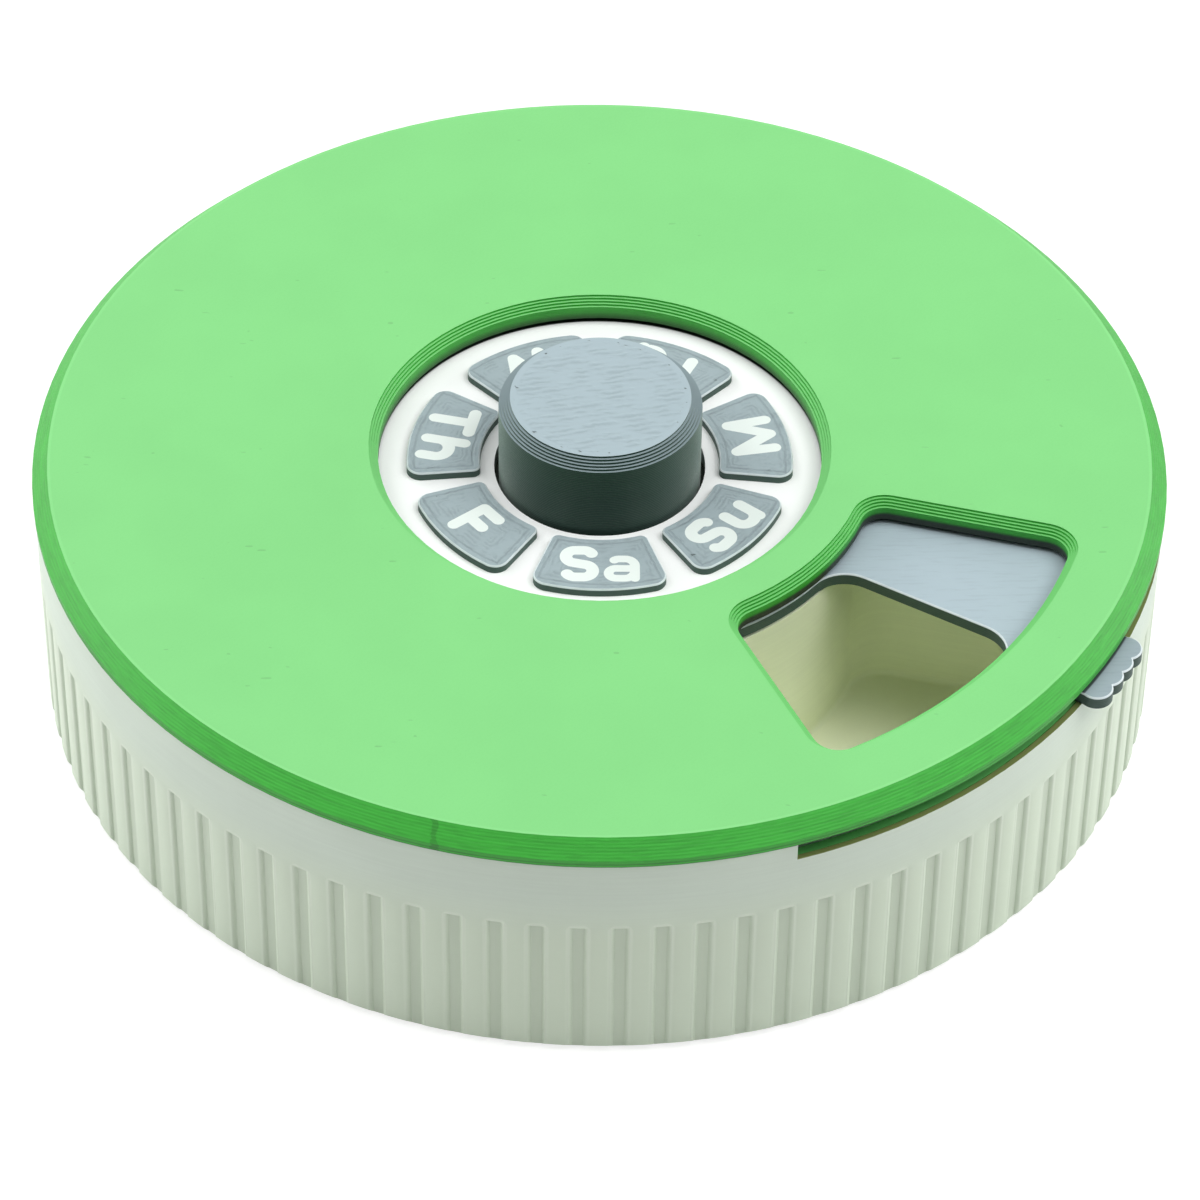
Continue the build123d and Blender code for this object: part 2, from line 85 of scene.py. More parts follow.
# Gloss and roughness of the prints, and the sheen that the knob's side shows at its edges
PRINT_GLOSS = 0.25
LID_GLOSS = 0.40
KNOB_GLOSS = 0.15
SMOOTH = 0.50
ROUGH_GREY = 0.48
ROUGH_KNOB = 0.46
ROUGH_SPREAD = (-0.05, 0.08)
KNOB_SHEEN = 0.50
KNOB_SHEEN_ROUGHNESS = 0.45
KNOB_SHEEN_TINT = (0.850, 1.000, 0.930)

# Sizes of the part that its materials follow
LAYER = 0.2
LID_TOP = 24.4
LID_BOTTOM = 22.3
LID_RIM = 48.6
HOLE_RADIUS = 19.6
KNOB_HOLE = 9.35
KNOB_TOP_RADIUS = 7.95
NOTCH_FLOOR = 20.5
BASE_RADIUS = 49.9
FLUTES = 90
FLUTE_TURN = math.radians(-0.71)
FLUTE_HALF = 0.82
FLUTE_TOP = 15.05

# Where the day tiles lie, as in the part: their turn from the front, their radii, and half
# their width at a middle radius, from which it grows with the slant of their sides.
DAYS = ("saturday", "sunday", "monday", "tuesday", "wednesday", "thursday", "friday")
TILE_TURN = math.radians(1.2)
TILE_INNER = 10.6
TILE_OUTER = 17.1
TILE_MIDDLE = 13.0
TILE_HALF_WIDTH = 5.1
TILE_SIDE = math.radians(19.0)

# Marks of the printing. A noise's scale is per millimetre, as one number or one for each
# axis, and its levels are the values between which a mark comes in. FACING values are how
# much a face looks up, from 0 to 1.
FACING_UP = (0.80, 0.97)
# The painted highlight along rounded upper edges: how much they look up, and how soft its ends are
FACING_LIP_HIGHLIGHT = (0.30, 0.93)
LIP_HIGHLIGHT_SOFTNESS = 0.05
CORE_LEVELS = (0.3, 0.7)
GRAIN_SCALE = 5.0
GRAIN_DEPTH = 0.003
BLOTCH_SCALE = 0.11
BLOTCH_TONE = 0.015
STREAK_SCALE = (0.10, 0.10, 4.2)

# Straight ridges of a smooth top layer
SKIN_TURN = 45
SKIN_PITCH = 0.42
SKIN_LEVELS = (0.4, 0.7)

# Marks on the lid: specks on its top, dashes, dark lines and one seam round its edge, painted
# shade that darkens the walls in its hole and window and the treads on their steps, and a paler
# line at its rim, a painted highlight
SPECK_SCALE = (0.8, 1.9, 0.8)
SPECK_LEVELS = (0.868, 0.893)
EDGE_SOFTNESS = 0.3
DASH_SCALE = (0.5, 0.5, 8.0)
DASH_LEVELS = (0.46, 0.62)
LOW_LINE = (-0.1, 0.05)
LOW_LINE_SOFTNESS = 0.05
HIGH_LINE = (0.28, 0.34)
HIGH_LINE_SOFTNESS = 0.06
LID_SEAM = (-12.2, -11.8)
SEAM_SCALE = (1, 1, 3)
SEAM_SOFTNESS = 0.15
INNER_WALLS = (1.6, 1.3)
WALL_SHADE = 1.1
WINDOW_FROM = (2.0, 2.2)
WINDOW_FOOT = (0.45, 0.90)
TREAD_DROP = (0.12, 0.05)
RIM_HIGHLIGHT_LINE = (0.22, 0.08)
RIM_HIGHLIGHT_SOFTNESS = 0.10

# Marks on the base: its warmer lower part, painted shade in the hollows of the flutes and a
# painted highlight on the rim drawn round them, lands that are a little round between them, and
# painted shade on the notch's floor
WARM_BELOW = (19.0, 13.0)
FLUTE_CORNER = 0.5
FLUTE_HOLLOW_SHADE = (-0.45, 0.20)
FLUTE_REACH = (1.0, 0.7)
FLUTE_RIM_HIGHLIGHT = (-0.08, 0.14)
FLUTE_RIM_HIGHLIGHT_SOFTNESS = 0.16
RIM_FADE_HEIGHT = 4.0
RIM_FADE_LEAST = 0.4
LAND_HALF = 0.79
LAND_RISE = 0.06
LAND_FADE = 0.5
NOTCH_BAND = 0.02

# Where the tray's ring of painted shadow ends outside the hole for the knob, and where the deck's
# rim of painted shadow begins outside the hole in the lid
TRAY_RING = (0.1, 0.3)
DECK_RIM = (0.05, 0.2)

# Marks on the shutter: short streaks, a darker lever and a rim of painted shadow where the lid
# covers it
SHUTTER_LINE_TURN = 4
SHUTTER_LINE_PITCH = 0.45
SHUTTER_LINE_WANDER = 0.3
SHUTTER_PATCH_SCALE = (0.35, 2.2, 0.5)
SHUTTER_PATCH_LEVELS = (0.45, 0.64)
LEVER_FROM = 1.0
SHUTTER_RIM_START = 0.5
SHUTTER_RIM_END = 0.05
SHUTTER_RIM_SOFTNESS = 0.15

# Marks on the knob: ridges inside a radius, pits where they end, and painted shade on its treads
KNOB_LINE_TURN = 14
KNOB_LINE_PITCH = 0.66
KNOB_LINE_WANDER = 0.6
KNOB_LINES_WITHIN = (7.2, 7.5)
KNOB_PATCH_SCALE = (0.42, 0.95, 0.3)
KNOB_PATCH_LEVELS = (0.42, 0.60)
KNOB_PATCH_LEAST = 0.10
KNOB_PIT_SCALE = 2.1
KNOB_PIT_LEVELS = (0.66, 0.74)
KNOB_PITS = (7.25, 7.55)
KNOB_PITS_SOFTNESS = 0.12
KNOB_TREAD_SOFTNESS = 0.04

# Marks on a day tile: ridges and a groove that follow its outline, faint blotches, and one
# pit near each outer corner, where chance has it
TILE_RIDGE_PITCH = 0.44
TILE_RIDGE_SCALE = 0.9
TILE_RIDGE_WANDER = 0.9
TILE_PATCH_SCALE = 0.7
TILE_PATCH_LEVELS = (0.42, 0.62)
TILE_GROOVE = (0.72, 0.82)
TILE_GROOVE_SOFTNESS = 0.10
TILE_GROOVE_SCALE = 1.2
TILE_GROOVE_WANDER = 0.25
TILE_BLOTCH_SCALE = 1.3
TILE_BLOTCH_LEVELS = (0.45, 0.7)
TILE_PIT_ALONG = 14.2
TILE_PIT_ASIDE = 4.75
TILE_PIT_STRETCH = 0.7
TILE_PIT_SIZE = (0.38, 0.48)
TILE_PIT_SCALE = 3.2
TILE_PIT_WANDER = 0.7
TILE_PIT_CHANCE_SCALE = 0.45
TILE_PIT_CHANCE_LEVELS = (0.42, 0.52)

# Turning marks of the steel, and how rough it is between them
TURNING_SCALE = (2.0, 2.0, 14.0)
TURNING_DEPTH = 0.004
STEEL_ROUGHNESS = (0.24, 0.40)


def place_camera():
    """Camera at the photograph's viewing angle, with its slight roll."""
    turn = Matrix.Rotation(CAMERA_TURN, 4, "Z")
    place = turn @ CAMERA_PLACE
    back = (place - turn @ CAMERA_TARGET).normalized()
    right = Vector((0, 0, 1)).cross(back).normalized()
    up = back.cross(right)
    facing = Matrix((right, up, back)).transposed().to_4x4()
    data = bpy.data.cameras.new("camera")
    data.sensor_width = CAMERA_SENSOR
    data.lens = CAMERA_LENS
    data.clip_start = CAMERA_NEAR
    data.clip_end = CAMERA_FAR
    camera = bpy.data.objects.new("camera", data)
    camera.matrix_world = Matrix.Translation(place) @ facing @ Matrix.Rotation(CAMERA_ROLL, 4, "Z")
    bpy.context.scene.collection.objects.link(camera)
    bpy.context.scene.camera = camera


def add_lamps():
    """Large soft lamps round and above the object."""
    for name, turn, rise, power in LAMPS:
        data = bpy.data.lights.new(name, "AREA")
        data.shape = "SQUARE"
        data.size = LAMP_SIZE
        data.energy = power
        lamp = bpy.data.objects.new(name, data)
        out = Vector((0, -LAMP_DISTANCE * math.cos(math.radians(rise)), 0))
        out.rotate(Matrix.Rotation(math.radians(turn), 3, "Z"))
        out.z = LAMP_DISTANCE * math.sin(math.radians(rise))
        lamp.location = out
        aim = LAMP_AIM - out
        lamp.rotation_euler = aim.to_track_quat("-Z", "Y").to_euler()
        bpy.context.scene.collection.objects.link(lamp)


def seen_outright(nodes, links):
    """1 for what the camera sees, straight or in gloss or through glass."""
    path = nodes.new("ShaderNodeLightPath")
    gloss = nodes.new("ShaderNodeMath")
    gloss.operation = "MAXIMUM"
    links.new(path.outputs["Is Glossy Ray"], gloss.inputs[0])
    links.new(path.outputs["Is Transmission Ray"], gloss.inputs[1])
    seen = nodes.new("ShaderNodeMath")
    seen.operation = "MAXIMUM"
    links.new(path.outputs["Is Camera Ray"], seen.inputs[0])
    links.new(gloss.outputs[0], seen.inputs[1])
    return seen.outputs[0]


def set_world():
    """World that looks white to the camera and in reflections, and lights nothing itself."""
    world = bpy.data.worlds.new("studio")
    world.use_nodes = True
    nodes = world.node_tree.nodes
    links = world.node_tree.links
    nodes.clear()
    output = nodes.new("ShaderNodeOutputWorld")
    light = nodes.new("ShaderNodeBackground")
    light.inputs["Color"].default_value = (1, 1, 1, 1)
    light.inputs["Strength"].default_value = WORLD_LIGHT
    white = nodes.new("ShaderNodeBackground")
    white.inputs["Color"].default_value = (1, 1, 1, 1)
    mix = nodes.new("ShaderNodeMixShader")
    links.new(seen_outright(nodes, links), mix.inputs[0])
    links.new(light.outputs[0], mix.inputs[1])
    links.new(white.outputs[0], mix.inputs[2])
    links.new(mix.outputs[0], output.inputs[0])
    bpy.context.scene.world = world


def floor_paint():
    """Pale paint in the light it gives back, which reads white with soft shadows when seen."""
    material = bpy.data.materials.new("floor_paint")
    material.use_nodes = True
    nodes = material.node_tree.nodes
    links = material.node_tree.links
    nodes.clear()
    output = nodes.new("ShaderNodeOutputMaterial")
    diffuse = nodes.new("ShaderNodeBsdfDiffuse")
    diffuse.inputs["Color"].default_value = (*FLOOR_COLOUR, 1)
    shaded = nodes.new("ShaderNodeBsdfDiffuse")
    shaded.inputs["Color"].default_value = (*FLOOR_SEEN, 1)
    glow = nodes.new("ShaderNodeEmission")
    glow.inputs["Strength"].default_value = FLOOR_GLOW
    seen = nodes.new("ShaderNodeAddShader")
    mix = nodes.new("ShaderNodeMixShader")
    links.new(shaded.outputs[0], seen.inputs[0])
    links.new(glow.outputs[0], seen.inputs[1])
    links.new(seen_outright(nodes, links), mix.inputs[0])
    links.new(diffuse.outputs[0], mix.inputs[1])
    links.new(seen.outputs[0], mix.inputs[2])
    links.new(mix.outputs[0], output.inputs[0])
    return material


def add_floor():
    """Plain pale floor just under the object."""
    mesh = bpy.data.meshes.new("floor")
    reach = FLOOR_REACH
    corners = [(-reach, -reach, 0), (reach, -reach, 0), (reach, reach, 0), (-reach, reach, 0)]
    mesh.from_pydata(corners, [], [(0, 1, 2, 3)])
    mesh.materials.append(floor_paint())
    floor = bpy.data.objects.new("floor", mesh)
    floor.location.z = -FLOOR_DROP
    bpy.context.scene.collection.objects.link(floor)


class Paint:
    """One node material, with short calls that add its nodes and join them."""

    def __init__(self, name):
        self.material = bpy.data.materials.new(name)
        self.material.use_nodes = True
        self.nodes = self.material.node_tree.nodes
        self.links = self.material.node_tree.links
        self.nodes.clear()
        output = self.nodes.new("ShaderNodeOutputMaterial")
        self.shader = self.nodes.new("ShaderNodeBsdfPrincipled")
        self.links.new(self.shader.outputs[0], output.inputs[0])
        coordinates = self.nodes.new("ShaderNodeTexCoord")
        scaled = self.nodes.new("ShaderNodeVectorMath")
        scaled.operation = "SCALE"
        scaled.inputs["Scale"].default_value = 1 / MM
        self.links.new(coordinates.outputs["Object"], scaled.inputs[0])
        self.x, self.y, self.z = self.split(scaled.outputs[0])
        self.up = self.split(coordinates.outputs["Normal"])[2]
        self.normal = None

    def split(self, vector):
        node = self.nodes.new("ShaderNodeSeparateXYZ")
        self.links.new(vector, node.inputs[0])
        return node.outputs

    def put(self, socket, value):
        if isinstance(value, bpy.types.NodeSocket):
            self.links.new(value, socket)
        else:
            socket.default_value = value

    def math(self, operation, first, second=0.0, third=0.0):
        node = self.nodes.new("ShaderNodeMath")
        node.operation = operation
        for socket, value in zip(node.inputs, (first, second, third)):
            self.put(socket, value)
        return node.outputs[0]

    def times(self, first, second):
        return self.math("MULTIPLY", first, second)

    def plus(self, first, second):
        return self.math("ADD", first, second)

    def less(self, first, second):
        return self.math("SUBTRACT", first, second)

    def least(self, first, second):
        return self.math("MINIMUM", first, second)

    def most(self, first, second):
        return self.math("MAXIMUM", first, second)

    def hypotenuse(self, first, second):
        squares = self.plus(self.times(first, first), self.times(second, second))
        return self.math("SQRT", squares)

    def radius(self):
        """Distance from the main axis."""
        return self.hypotenuse(self.x, self.y)

    def folded(self, start, count):
        """Angle from the nearest of a number of even places round the main axis."""
        turn = self.math("ARCTAN2", self.x, self.times(self.y, -1.0))
        half = math.pi / count
        return self.math("WRAP", self.less(turn, start), half, -half)

    def ramp(self, value, low, high, start=0.0, end=1.0):
        """Smooth change from the start to the end as the value goes from low to high."""
        node = self.nodes.new("ShaderNodeMapRange")
        node.interpolation_type = "SMOOTHSTEP"
        for socket, setting in zip(node.inputs, (value, low, high, start, end)):
            self.put(socket, setting)
        return node.outputs[0]

    def fade(self, value, low, high):
        """1 below the low value and 0 above the high one."""
        return self.ramp(value, low, high, 1.0, 0.0)

    def band(self, value, low, high, soft):
        """1 where the value lies between low and high, with soft ends outside them."""
        return self.times(self.ramp(value, low - soft, low), self.fade(value, high, high + soft))

    def noise(self, scale, detail=3.0, roughness=0.55):
        """Noise from 0 to 1 over the place, with one scale or one for each axis."""
        scales = scale if isinstance(scale, tuple) else (scale, scale, scale)
        vector = self.nodes.new("ShaderNodeCombineXYZ")
        for socket, place, stretch in zip(vector.inputs, (self.x, self.y, self.z), scales):
            self.put(socket, self.times(place, stretch))
        node = self.nodes.new("ShaderNodeTexNoise")
        node.inputs["Scale"].default_value = 1.0
        node.inputs["Detail"].default_value = detail
        node.inputs["Roughness"].default_value = roughness
        self.links.new(vector.outputs[0], node.inputs["Vector"])
        return node.outputs[0]

    def swayed(self, value, amount, scale, detail=3.0):
        """The value, moved by noise up to the amount."""
        return self.math("MULTIPLY_ADD", self.noise(scale, detail), amount, value)

    def waves(self, place, pitch):
        """Even ridges from 0 to 1 along a coordinate."""
        angle = self.times(place, 2 * math.pi / pitch)
        return self.math("MULTIPLY_ADD", self.math("SINE", angle), 0.5, 0.5)

    def lines(self, turn, pitch, wander=0.0):
        """Straight ridges at an angle from +X, that wander to the side a little."""
        angle = math.radians(turn)
        along_x = self.times(self.x, -math.sin(angle))
        across = self.math("MULTIPLY_ADD", self.y, math.cos(angle), along_x)
        return self.waves(self.swayed(across, wander, scale=0.9, detail=2.0), pitch)

    def mix(self, factor, first, second, way="MIX"):
        node = self.nodes.new("ShaderNodeMix")
        node.data_type = "RGBA"
        node.blend_type = way
        colours = [socket for socket in node.inputs if socket.type == "RGBA"]
        self.put(node.inputs[0], factor)
        for socket, value in zip(colours, (first, second)):
            self.put(socket, value if isinstance(value, bpy.types.NodeSocket) else (*value, 1))
        return [socket for socket in node.outputs if socket.type == "RGBA"][0]

    def shade(self, colour, amount):
        """The colour times an amount that may vary over the surface."""
        grey = self.nodes.new("ShaderNodeCombineColor")
        for socket in grey.inputs:
            self.put(socket, amount)
        return self.mix(1.0, colour, grey.outputs[0], "MULTIPLY")

    def relief(self, height, depth):
        """Adds relief from a height of 0 to 1, its depth in millimetres."""
        node = self.nodes.new("ShaderNodeBump")
        node.inputs["Strength"].default_value = 1.0
        node.inputs["Distance"].default_value = depth * MM
        self.links.new(height, node.inputs["Height"])
        if self.normal is not None:
            self.links.new(self.normal, node.inputs["Normal"])
        self.normal = node.outputs[0]

    def gloss(self, level):
        self.shader.inputs["Specular IOR Level"].default_value = level

    def sheen(self, weight, roughness, tint):
        self.shader.inputs["Sheen Weight"].default_value = weight
        self.shader.inputs["Sheen Roughness"].default_value = roughness
        self.shader.inputs["Sheen Tint"].default_value = (*tint, 1)

    def finish(self, colour, roughness):
        self.put(self.shader.inputs["Base Color"], colour)
        self.put(self.shader.inputs["Roughness"], roughness)
        self.links.new(self.normal, self.shader.inputs["Normal"])
        return self.material


class Print(Paint):
    """A layered print: a paler skin on faces that look up, darker sides that are painted shade,
    and layers up its sides.
    """

    def __init__(self, name, up_colour, side_colour, layers=0.010, streaks=0.03):
        super().__init__(name)
        self.top = self.ramp(self.up, *FACING_UP)
        self.side = self.less(1.0, self.top)
        self.grain = self.noise(GRAIN_SCALE, detail=2.0)
        blotch = self.noise(BLOTCH_SCALE, detail=2.0)
        streak = self.noise(STREAK_SCALE, roughness=0.6)
        tone = self.ramp(blotch, *CORE_LEVELS, 1 - BLOTCH_TONE, 1 + BLOTCH_TONE)
        across = self.ramp(streak, *CORE_LEVELS, 1 - streaks, 1 + streaks)
        # Upright faces take the darker side colour, which is painted shade; faces that look up
        # keep the paler one
        self.colour = self.mix(self.top, self.shade(side_colour, across), up_colour)
        self.colour = self.shade(self.colour, tone)
        self.layers = self.waves(self.z, LAYER)
        self.relief(self.times(self.layers, self.side), layers)
        self.gloss(PRINT_GLOSS)

    def lip_highlight(self, colour, amount):
        """Painted highlight: a paler line along rounded upper edges."""
        self.tint(self.band(self.up, *FACING_LIP_HIGHLIGHT, LIP_HIGHLIGHT_SOFTNESS), colour, amount)

    def tint(self, where, colour, amount):
        """Another colour where the mask is 1."""
        self.colour = self.mix(self.times(where, amount), self.colour, colour)

    def darken(self, where, amount):
        self.colour = self.shade(self.colour, self.math("MULTIPLY_ADD", where, -amount, 1.0))

    def skin(self, ridges, where, depth, tone):
        """Ridges of the top layer, where the mask lets them through."""
        shown = self.times(self.top, where)
        self.relief(self.times(ridges, shown), depth)
        self.darken(self.times(self.less(1.0, ridges), shown), tone)

    def fine_skin(self, depth=0.003, tone=0.01):
        """Straight ridges that hardly show."""
        ridges = self.lines(SKIN_TURN, SKIN_PITCH)
        self.skin(ridges, self.ramp(self.grain, *SKIN_LEVELS), depth, tone)

    def pits(self, where, depth, tone):
        """Small dark hollows, 1 in the mask where one is."""
        shown = self.times(self.top, where)
        self.relief(self.less(1.0, shown), depth)
        self.darken(shown, tone)

    def done(self, rough=SMOOTH):
        self.relief(self.grain, GRAIN_DEPTH)
        low, high = [rough + change for change in ROUGH_SPREAD]
        varied = self.ramp(self.grain, *CORE_LEVELS, low, high)
        return self.finish(self.colour, varied)


def smooth_print(name, up_colour, side_colour):
    """Print with shallow layers and hardly a streak."""
    return Print(name, up_colour, side_colour, layers=0.006, streaks=0.015)


def lid_edge(paint, place):
    """Layers, broken streaks, two dark lines at the foot and one seam round the lid's edge."""
    outer = paint.times(paint.side, paint.ramp(place, LID_RIM - EDGE_SOFTNESS, LID_RIM))
    paint.darken(paint.times(outer, paint.less(1.0, paint.layers)), amount=0.09)
    dashes = paint.ramp(paint.noise(DASH_SCALE, detail=1.0), *DASH_LEVELS)
    paint.darken(paint.times(outer, dashes), amount=0.13)
    low_line = [LID_BOTTOM + height for height in LOW_LINE]
    high_line = [LID_BOTTOM + height for height in HIGH_LINE]
    low = paint.band(paint.z, *low_line, LOW_LINE_SOFTNESS)
    high = paint.band(paint.z, *high_line, HIGH_LINE_SOFTNESS)
    paint.darken(paint.times(outer, paint.plus(low, high)), amount=0.38)
    seam = paint.band(paint.plus(paint.x, paint.noise(SEAM_SCALE)), *LID_SEAM, SEAM_SOFTNESS)
    front = paint.times(outer, paint.math("LESS_THAN", paint.y, 0.0))
    paint.darken(paint.times(seam, front), amount=0.30)


def lid_openings(paint, place):
    """Painted shade: walls of the hole and the window that darken downwards, nearly to black at
    the foot of the window's, and treads a little darker than the top."""
    inside = paint.fade(place, LID_RIM - INNER_WALLS[0], LID_RIM - INNER_WALLS[1])
    inner = paint.times(paint.side, inside)
    low = paint.fade(paint.z, LID_BOTTOM, LID_BOTTOM + WALL_SHADE)
    # Painted shade that darkens the walls of the hole and the window downwards
    paint.darken(paint.times(inner, low), amount=0.80)
    window = paint.ramp(place, HOLE_RADIUS + WINDOW_FROM[0], HOLE_RADIUS + WINDOW_FROM[1])
    foot = paint.fade(paint.z, LID_BOTTOM + WINDOW_FOOT[0], LID_BOTTOM + WINDOW_FOOT[1])
    # Painted shadow, nearly black, at the foot of the window's walls
    paint.tint(paint.times(paint.times(inner, window), foot), PAINTED_GAP_SHADOW, amount=1.0)
    below_top = paint.fade(paint.z, LID_TOP - TREAD_DROP[0], LID_TOP - TREAD_DROP[1])
    treads = paint.times(paint.top, below_top)
    # Painted shade on the treads of the steps, more of it in the window
    paint.tint(treads, GREEN_SHADED_SIDE, amount=0.12)
    paint.tint(paint.times(treads, window), GREEN_SHADED_SIDE, amount=0.22)


def lid_print():
    """Smooth green print: faint blotches, a few specks, marks round its edge, painted shade in its
    openings, and a paler line where the top meets the edge, a painted highlight."""
    paint = Print("lid_print", GREEN_UP, GREEN_SHADED_SIDE, layers=0.008, streaks=0.06)
    specks = paint.ramp(paint.noise(SPECK_SCALE, detail=0.0), *SPECK_LEVELS)
    paint.pits(specks, depth=0.01, tone=0.16)
    paint.fine_skin(depth=0.002, tone=0.012)
    place = paint.radius()
    lid_edge(paint, place)
    lid_openings(paint, place)
    # Painted highlight: a paler line where the top meets the edge
    rim = paint.band(place, LID_RIM - RIM_HIGHLIGHT_LINE[0], LID_RIM - RIM_HIGHLIGHT_LINE[1], RIM_HIGHLIGHT_SOFTNESS)
    paint.tint(paint.times(rim, paint.top), GREEN_RIM_HIGHLIGHT, amount=0.22)
    paint.gloss(LID_GLOSS)
    return paint.done()


def letter_print():
    """White print of the inlaid letters, with nothing on it but its skin."""
    paint = smooth_print("letter_print", LETTER_UP, WHITE_SHADED_SIDE)
    paint.fine_skin()
    return paint.done()


def base_flutes(paint):
    """Hollows darkened with painted shade, a paler line round each as a painted highlight, drawn
    with round upper corners, and lands between them that are a little round."""
    turn = paint.folded(FLUTE_TURN, FLUTES)
    aside = paint.math("ABSOLUTE", paint.times(turn, BASE_RADIUS))
    beside = paint.most(paint.less(aside, FLUTE_HALF - FLUTE_CORNER), 0.0)
    above = paint.most(paint.less(paint.z, FLUTE_TOP - FLUTE_CORNER), 0.0)
    outside = paint.less(paint.hypotenuse(beside, above), FLUTE_CORNER)
    reach = paint.ramp(paint.radius(), BASE_RADIUS - FLUTE_REACH[0], BASE_RADIUS - FLUTE_REACH[1])
    # Painted shade in the hollows of the flutes
    paint.darken(paint.times(paint.fade(outside, *FLUTE_HOLLOW_SHADE), reach), amount=0.09)
    # Painted highlight on the line drawn round each hollow, fading downwards
    rim = paint.band(outside, *FLUTE_RIM_HIGHLIGHT, FLUTE_RIM_HIGHLIGHT_SOFTNESS)
    taper = paint.ramp(paint.z, RIM_FADE_HEIGHT, FLUTE_TOP, RIM_FADE_LEAST, 1.0)
    paint.tint(paint.times(rim, taper), IVORY_RIM_HIGHLIGHT, amount=0.32)
    from_land = paint.less(math.pi * BASE_RADIUS / FLUTES, aside)
    share = paint.least(paint.times(from_land, 1 / LAND_HALF), 1.0)
    below = paint.times(reach, paint.fade(paint.z, FLUTE_TOP - LAND_FADE, FLUTE_TOP + LAND_FADE))
    round_land = paint.less(1.0, paint.times(share, share))
    paint.relief(paint.times(round_land, below), LAND_RISE)


def base_print():
    """Ivory print, warmer below its band, with olive painted shade on the floor of its notch."""
    paint = smooth_print("base_print", IVORY_UP, IVORY_SHADED_SIDE)
    paint.tint(paint.ramp(paint.z, *WARM_BELOW), IVORY_LOW, amount=0.9)
    base_flutes(paint)
    # Olive painted shade on the floor of the notch
    floor = paint.band(paint.z, NOTCH_FLOOR - NOTCH_BAND, NOTCH_FLOOR + NOTCH_BAND, NOTCH_BAND)
    paint.tint(paint.times(floor, paint.top), NOTCH_SHADE_OLIVE, amount=1.0)
    return paint.done()


def tray_print():
    """Pale print, with painted shadow on the ring round the knob that only its gap shows."""
    paint = smooth_print("tray_print", TRAY_UP, TRAY_SIDE)
    paint.fine_skin()
    # Painted shadow on the tray's ring round the knob, seen only through its gap
    gap_shadow = paint.fade(paint.radius(), *[KNOB_HOLE + more for more in TRAY_RING])
    paint.tint(paint.times(gap_shadow, paint.top), PAINTED_GAP_SHADOW, amount=1.0)
    return paint.done()


def deck_print():
    """White print, with painted shadow on the rim that the lid covers."""
    paint = smooth_print("deck_print", WHITE_UP, WHITE_SHADED_SIDE)
    paint.fine_skin()
    # Painted shadow on the rim that the lid covers
    shadowed_rim = paint.ramp(paint.radius(), *[HOLE_RADIUS + more for more in DECK_RIM])
    paint.tint(shadowed_rim, PAINTED_GAP_SHADOW, amount=1.0)
    return paint.done()


def shutter_print():
    """Grey print with short straight streaks, a pale line round the opening that is a painted
    highlight, and painted shadow on the rim that the lid covers."""
    paint = Print("shutter_print", SHUTTER_UP, GREY_SHADED_SIDE)
    ridges = paint.lines(SHUTTER_LINE_TURN, SHUTTER_LINE_PITCH, SHUTTER_LINE_WANDER)
    patch = paint.ramp(paint.noise(SHUTTER_PATCH_SCALE), *SHUTTER_PATCH_LEVELS)
    paint.skin(ridges, patch, depth=0.010, tone=0.07)
    place = paint.radius()
    paint.darken(paint.ramp(place, LID_RIM, LID_RIM + LEVER_FROM), amount=0.16)
    # Painted highlight along the opening's rounded edge
    paint.lip_highlight(GREY_LIP_HIGHLIGHT, amount=0.9)
    # Painted shadow on the shutter's rim under the lid's edge
    start = LID_RIM + SHUTTER_RIM_START
    shadowed_rim = paint.band(place, start, BASE_RADIUS + SHUTTER_RIM_END, SHUTTER_RIM_SOFTNESS)
    paint.tint(paint.times(shadowed_rim, paint.top), PAINTED_GAP_SHADOW, amount=0.85)
    return paint.done(ROUGH_GREY)


def knob_print():
    """Grey print: nearly parallel ridges on top, pits where they meet the rim, painted shade on
    the treads of its chamfer, and a sheen on its side, whose dark colour is painted shade."""
    paint = Print("knob_print", GREY_UP, KNOB_SHADED_SIDE, layers=0.008, streaks=0.04)
    place = paint.radius()
    inside = paint.fade(place, *KNOB_LINES_WITHIN)
    patches = paint.noise(KNOB_PATCH_SCALE)
    patch = paint.ramp(patches, *KNOB_PATCH_LEVELS, KNOB_PATCH_LEAST, 1.0)
    ridges = paint.lines(KNOB_LINE_TURN, KNOB_LINE_PITCH, KNOB_LINE_WANDER)
    paint.skin(ridges, paint.times(inside, patch), depth=0.035, tone=0.15)
    ends = paint.ramp(paint.noise(KNOB_PIT_SCALE, detail=1.0), *KNOB_PIT_LEVELS)
    pits = paint.times(ends, paint.band(place, *KNOB_PITS, KNOB_PITS_SOFTNESS))
    paint.pits(pits, depth=0.06, tone=0.6)
    # Painted shade on the treads of the chamfer
    beyond = paint.ramp(place, KNOB_TOP_RADIUS, KNOB_TOP_RADIUS + KNOB_TREAD_SOFTNESS)
    paint.tint(paint.times(paint.top, beyond), KNOB_SHADED_SIDE, amount=0.38)
    paint.gloss(KNOB_GLOSS)
    paint.sheen(KNOB_SHEEN, KNOB_SHEEN_ROUGHNESS, KNOB_SHEEN_TINT)
    return paint.done(ROUGH_KNOB)


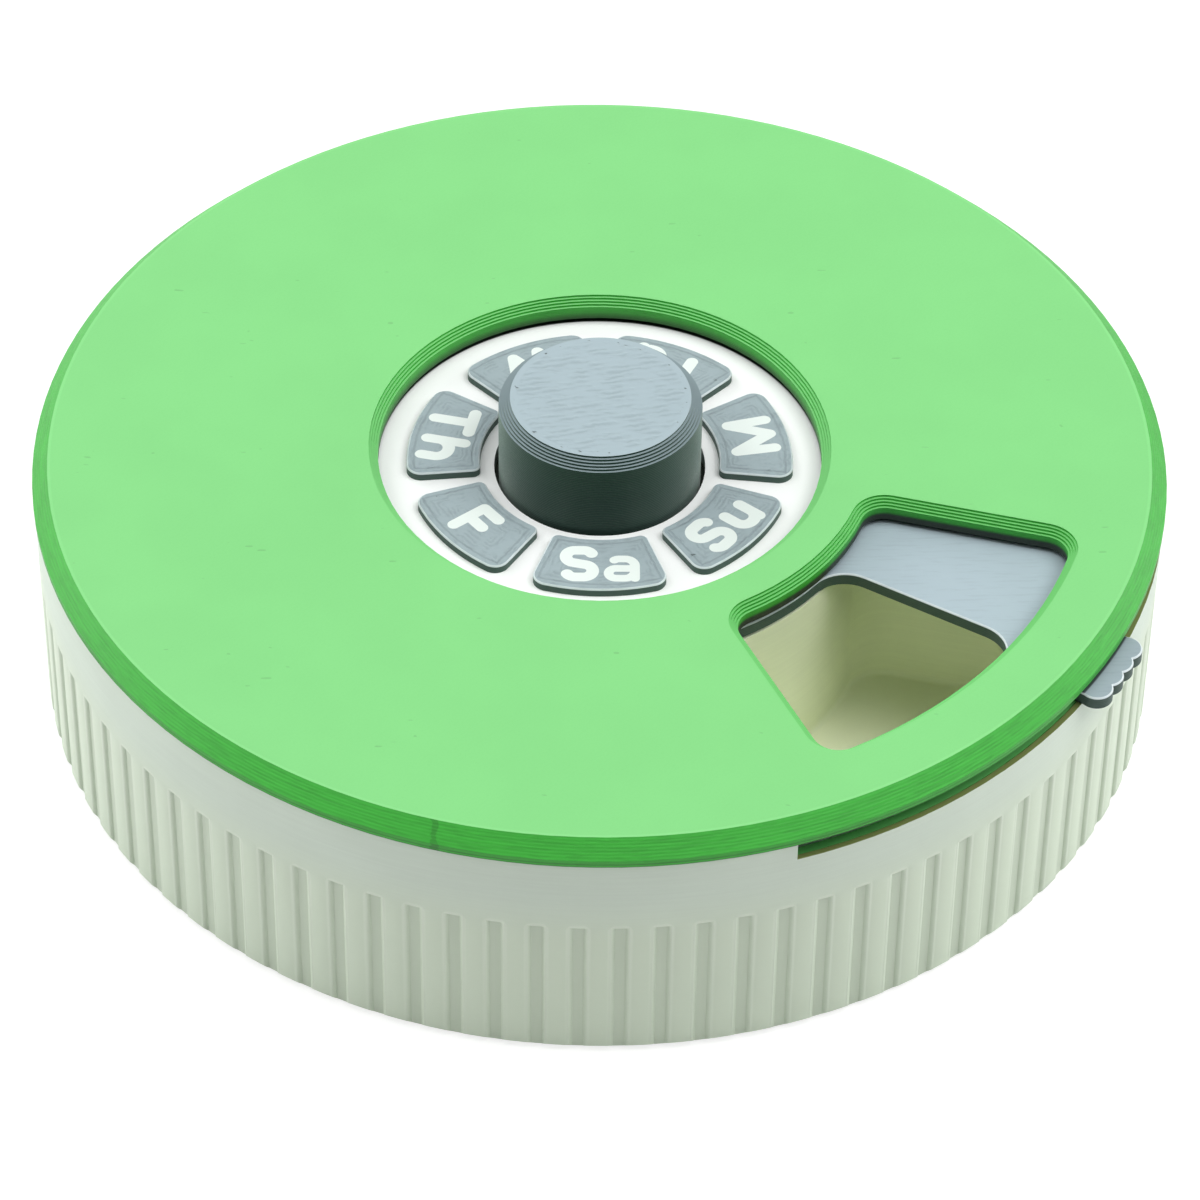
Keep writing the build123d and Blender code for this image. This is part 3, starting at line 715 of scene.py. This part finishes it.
def tile_skin(paint, inset):
    """Ridges and a groove that follow the tile's outline, by the distance inside it, with
    faint blotches over them."""
    ridges = paint.swayed(inset, TILE_RIDGE_WANDER, TILE_RIDGE_SCALE)
    patch = paint.ramp(paint.noise(TILE_PATCH_SCALE), *TILE_PATCH_LEVELS)
    paint.skin(paint.waves(ridges, TILE_RIDGE_PITCH), patch, depth=0.030, tone=0.13)
    groove = paint.swayed(inset, TILE_GROOVE_WANDER, TILE_GROOVE_SCALE, detail=2.0)
    paint.pits(paint.band(groove, *TILE_GROOVE, TILE_GROOVE_SOFTNESS), depth=0.03, tone=0.16)
    blotches = paint.ramp(paint.noise(TILE_BLOTCH_SCALE), *TILE_BLOTCH_LEVELS)
    paint.darken(paint.times(paint.top, blotches), amount=0.06)


def tile_pits(paint, along, aside):
    """A rough pit near each outer corner of a tile, where chance has it."""
    far = paint.times(paint.less(along, TILE_PIT_ALONG), TILE_PIT_STRETCH)
    spot = paint.hypotenuse(far, paint.less(aside, TILE_PIT_ASIDE))
    rough = paint.swayed(spot, TILE_PIT_WANDER, TILE_PIT_SCALE)
    chances = paint.noise(TILE_PIT_CHANCE_SCALE, detail=0.0)
    chance = paint.ramp(chances, *TILE_PIT_CHANCE_LEVELS)
    paint.pits(paint.times(paint.fade(rough, *TILE_PIT_SIZE), chance), depth=0.08, tone=0.5)


def tile_print():
    """Grey print of one day tile, drawn once round for all seven."""
    paint = Print("tile_print", TILE_UP, GREY_SHADED_SIDE)
    place = paint.radius()
    turn = paint.folded(TILE_TURN, len(DAYS))
    along = paint.times(place, paint.math("COSINE", turn))
    aside = paint.math("ABSOLUTE", paint.times(place, paint.math("SINE", turn)))
    slope = math.tan(TILE_SIDE)
    reach = paint.math("MULTIPLY_ADD", along, slope, TILE_HALF_WIDTH - slope * TILE_MIDDLE)
    side_gap = paint.times(paint.less(reach, aside), math.cos(TILE_SIDE))
    end_gap = paint.least(paint.less(place, TILE_INNER), paint.less(TILE_OUTER, place))
    tile_skin(paint, paint.least(end_gap, side_gap))
    tile_pits(paint, along, aside)
    # Painted highlight along the tile's rounded upper edges
    paint.lip_highlight(GREY_LIP_HIGHLIGHT, amount=0.85)
    return paint.done(ROUGH_GREY)


def turned_steel():
    """Bright steel with fine turning marks."""
    paint = Paint("steel_finish")
    grain = paint.noise(TURNING_SCALE)
    worn = [STEEL_WORN_SHARE * part for part in STEEL]
    paint.relief(grain, TURNING_DEPTH)
    paint.shader.inputs["Metallic"].default_value = 1.0
    colour = paint.mix(paint.ramp(grain, *CORE_LEVELS), STEEL, worn)
    return paint.finish(colour, paint.ramp(grain, *CORE_LEVELS, *STEEL_ROUGHNESS))


def dress(names, material):
    """Gives CAD nodes their material in place of the plain one they came with."""
    for name in names:
        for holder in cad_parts[name].material_slots:
            holder.material = material


bpy.context.scene.view_settings.view_transform = "Standard"
place_camera()
add_lamps()
set_world()
add_floor()

dress(["lid"], lid_print())
dress(["base"], base_print())
dress(["carousel"], tray_print())
dress(["deck"], deck_print())
dress(["shutter"], shutter_print())
dress(["knob"], knob_print())
dress(["day_tile_" + day for day in DAYS], tile_print())
dress(["day_letters_" + day for day in DAYS], letter_print())
dress(["knob_screw", "knob_washer", "index_ball", "index_spring"], turned_steel())
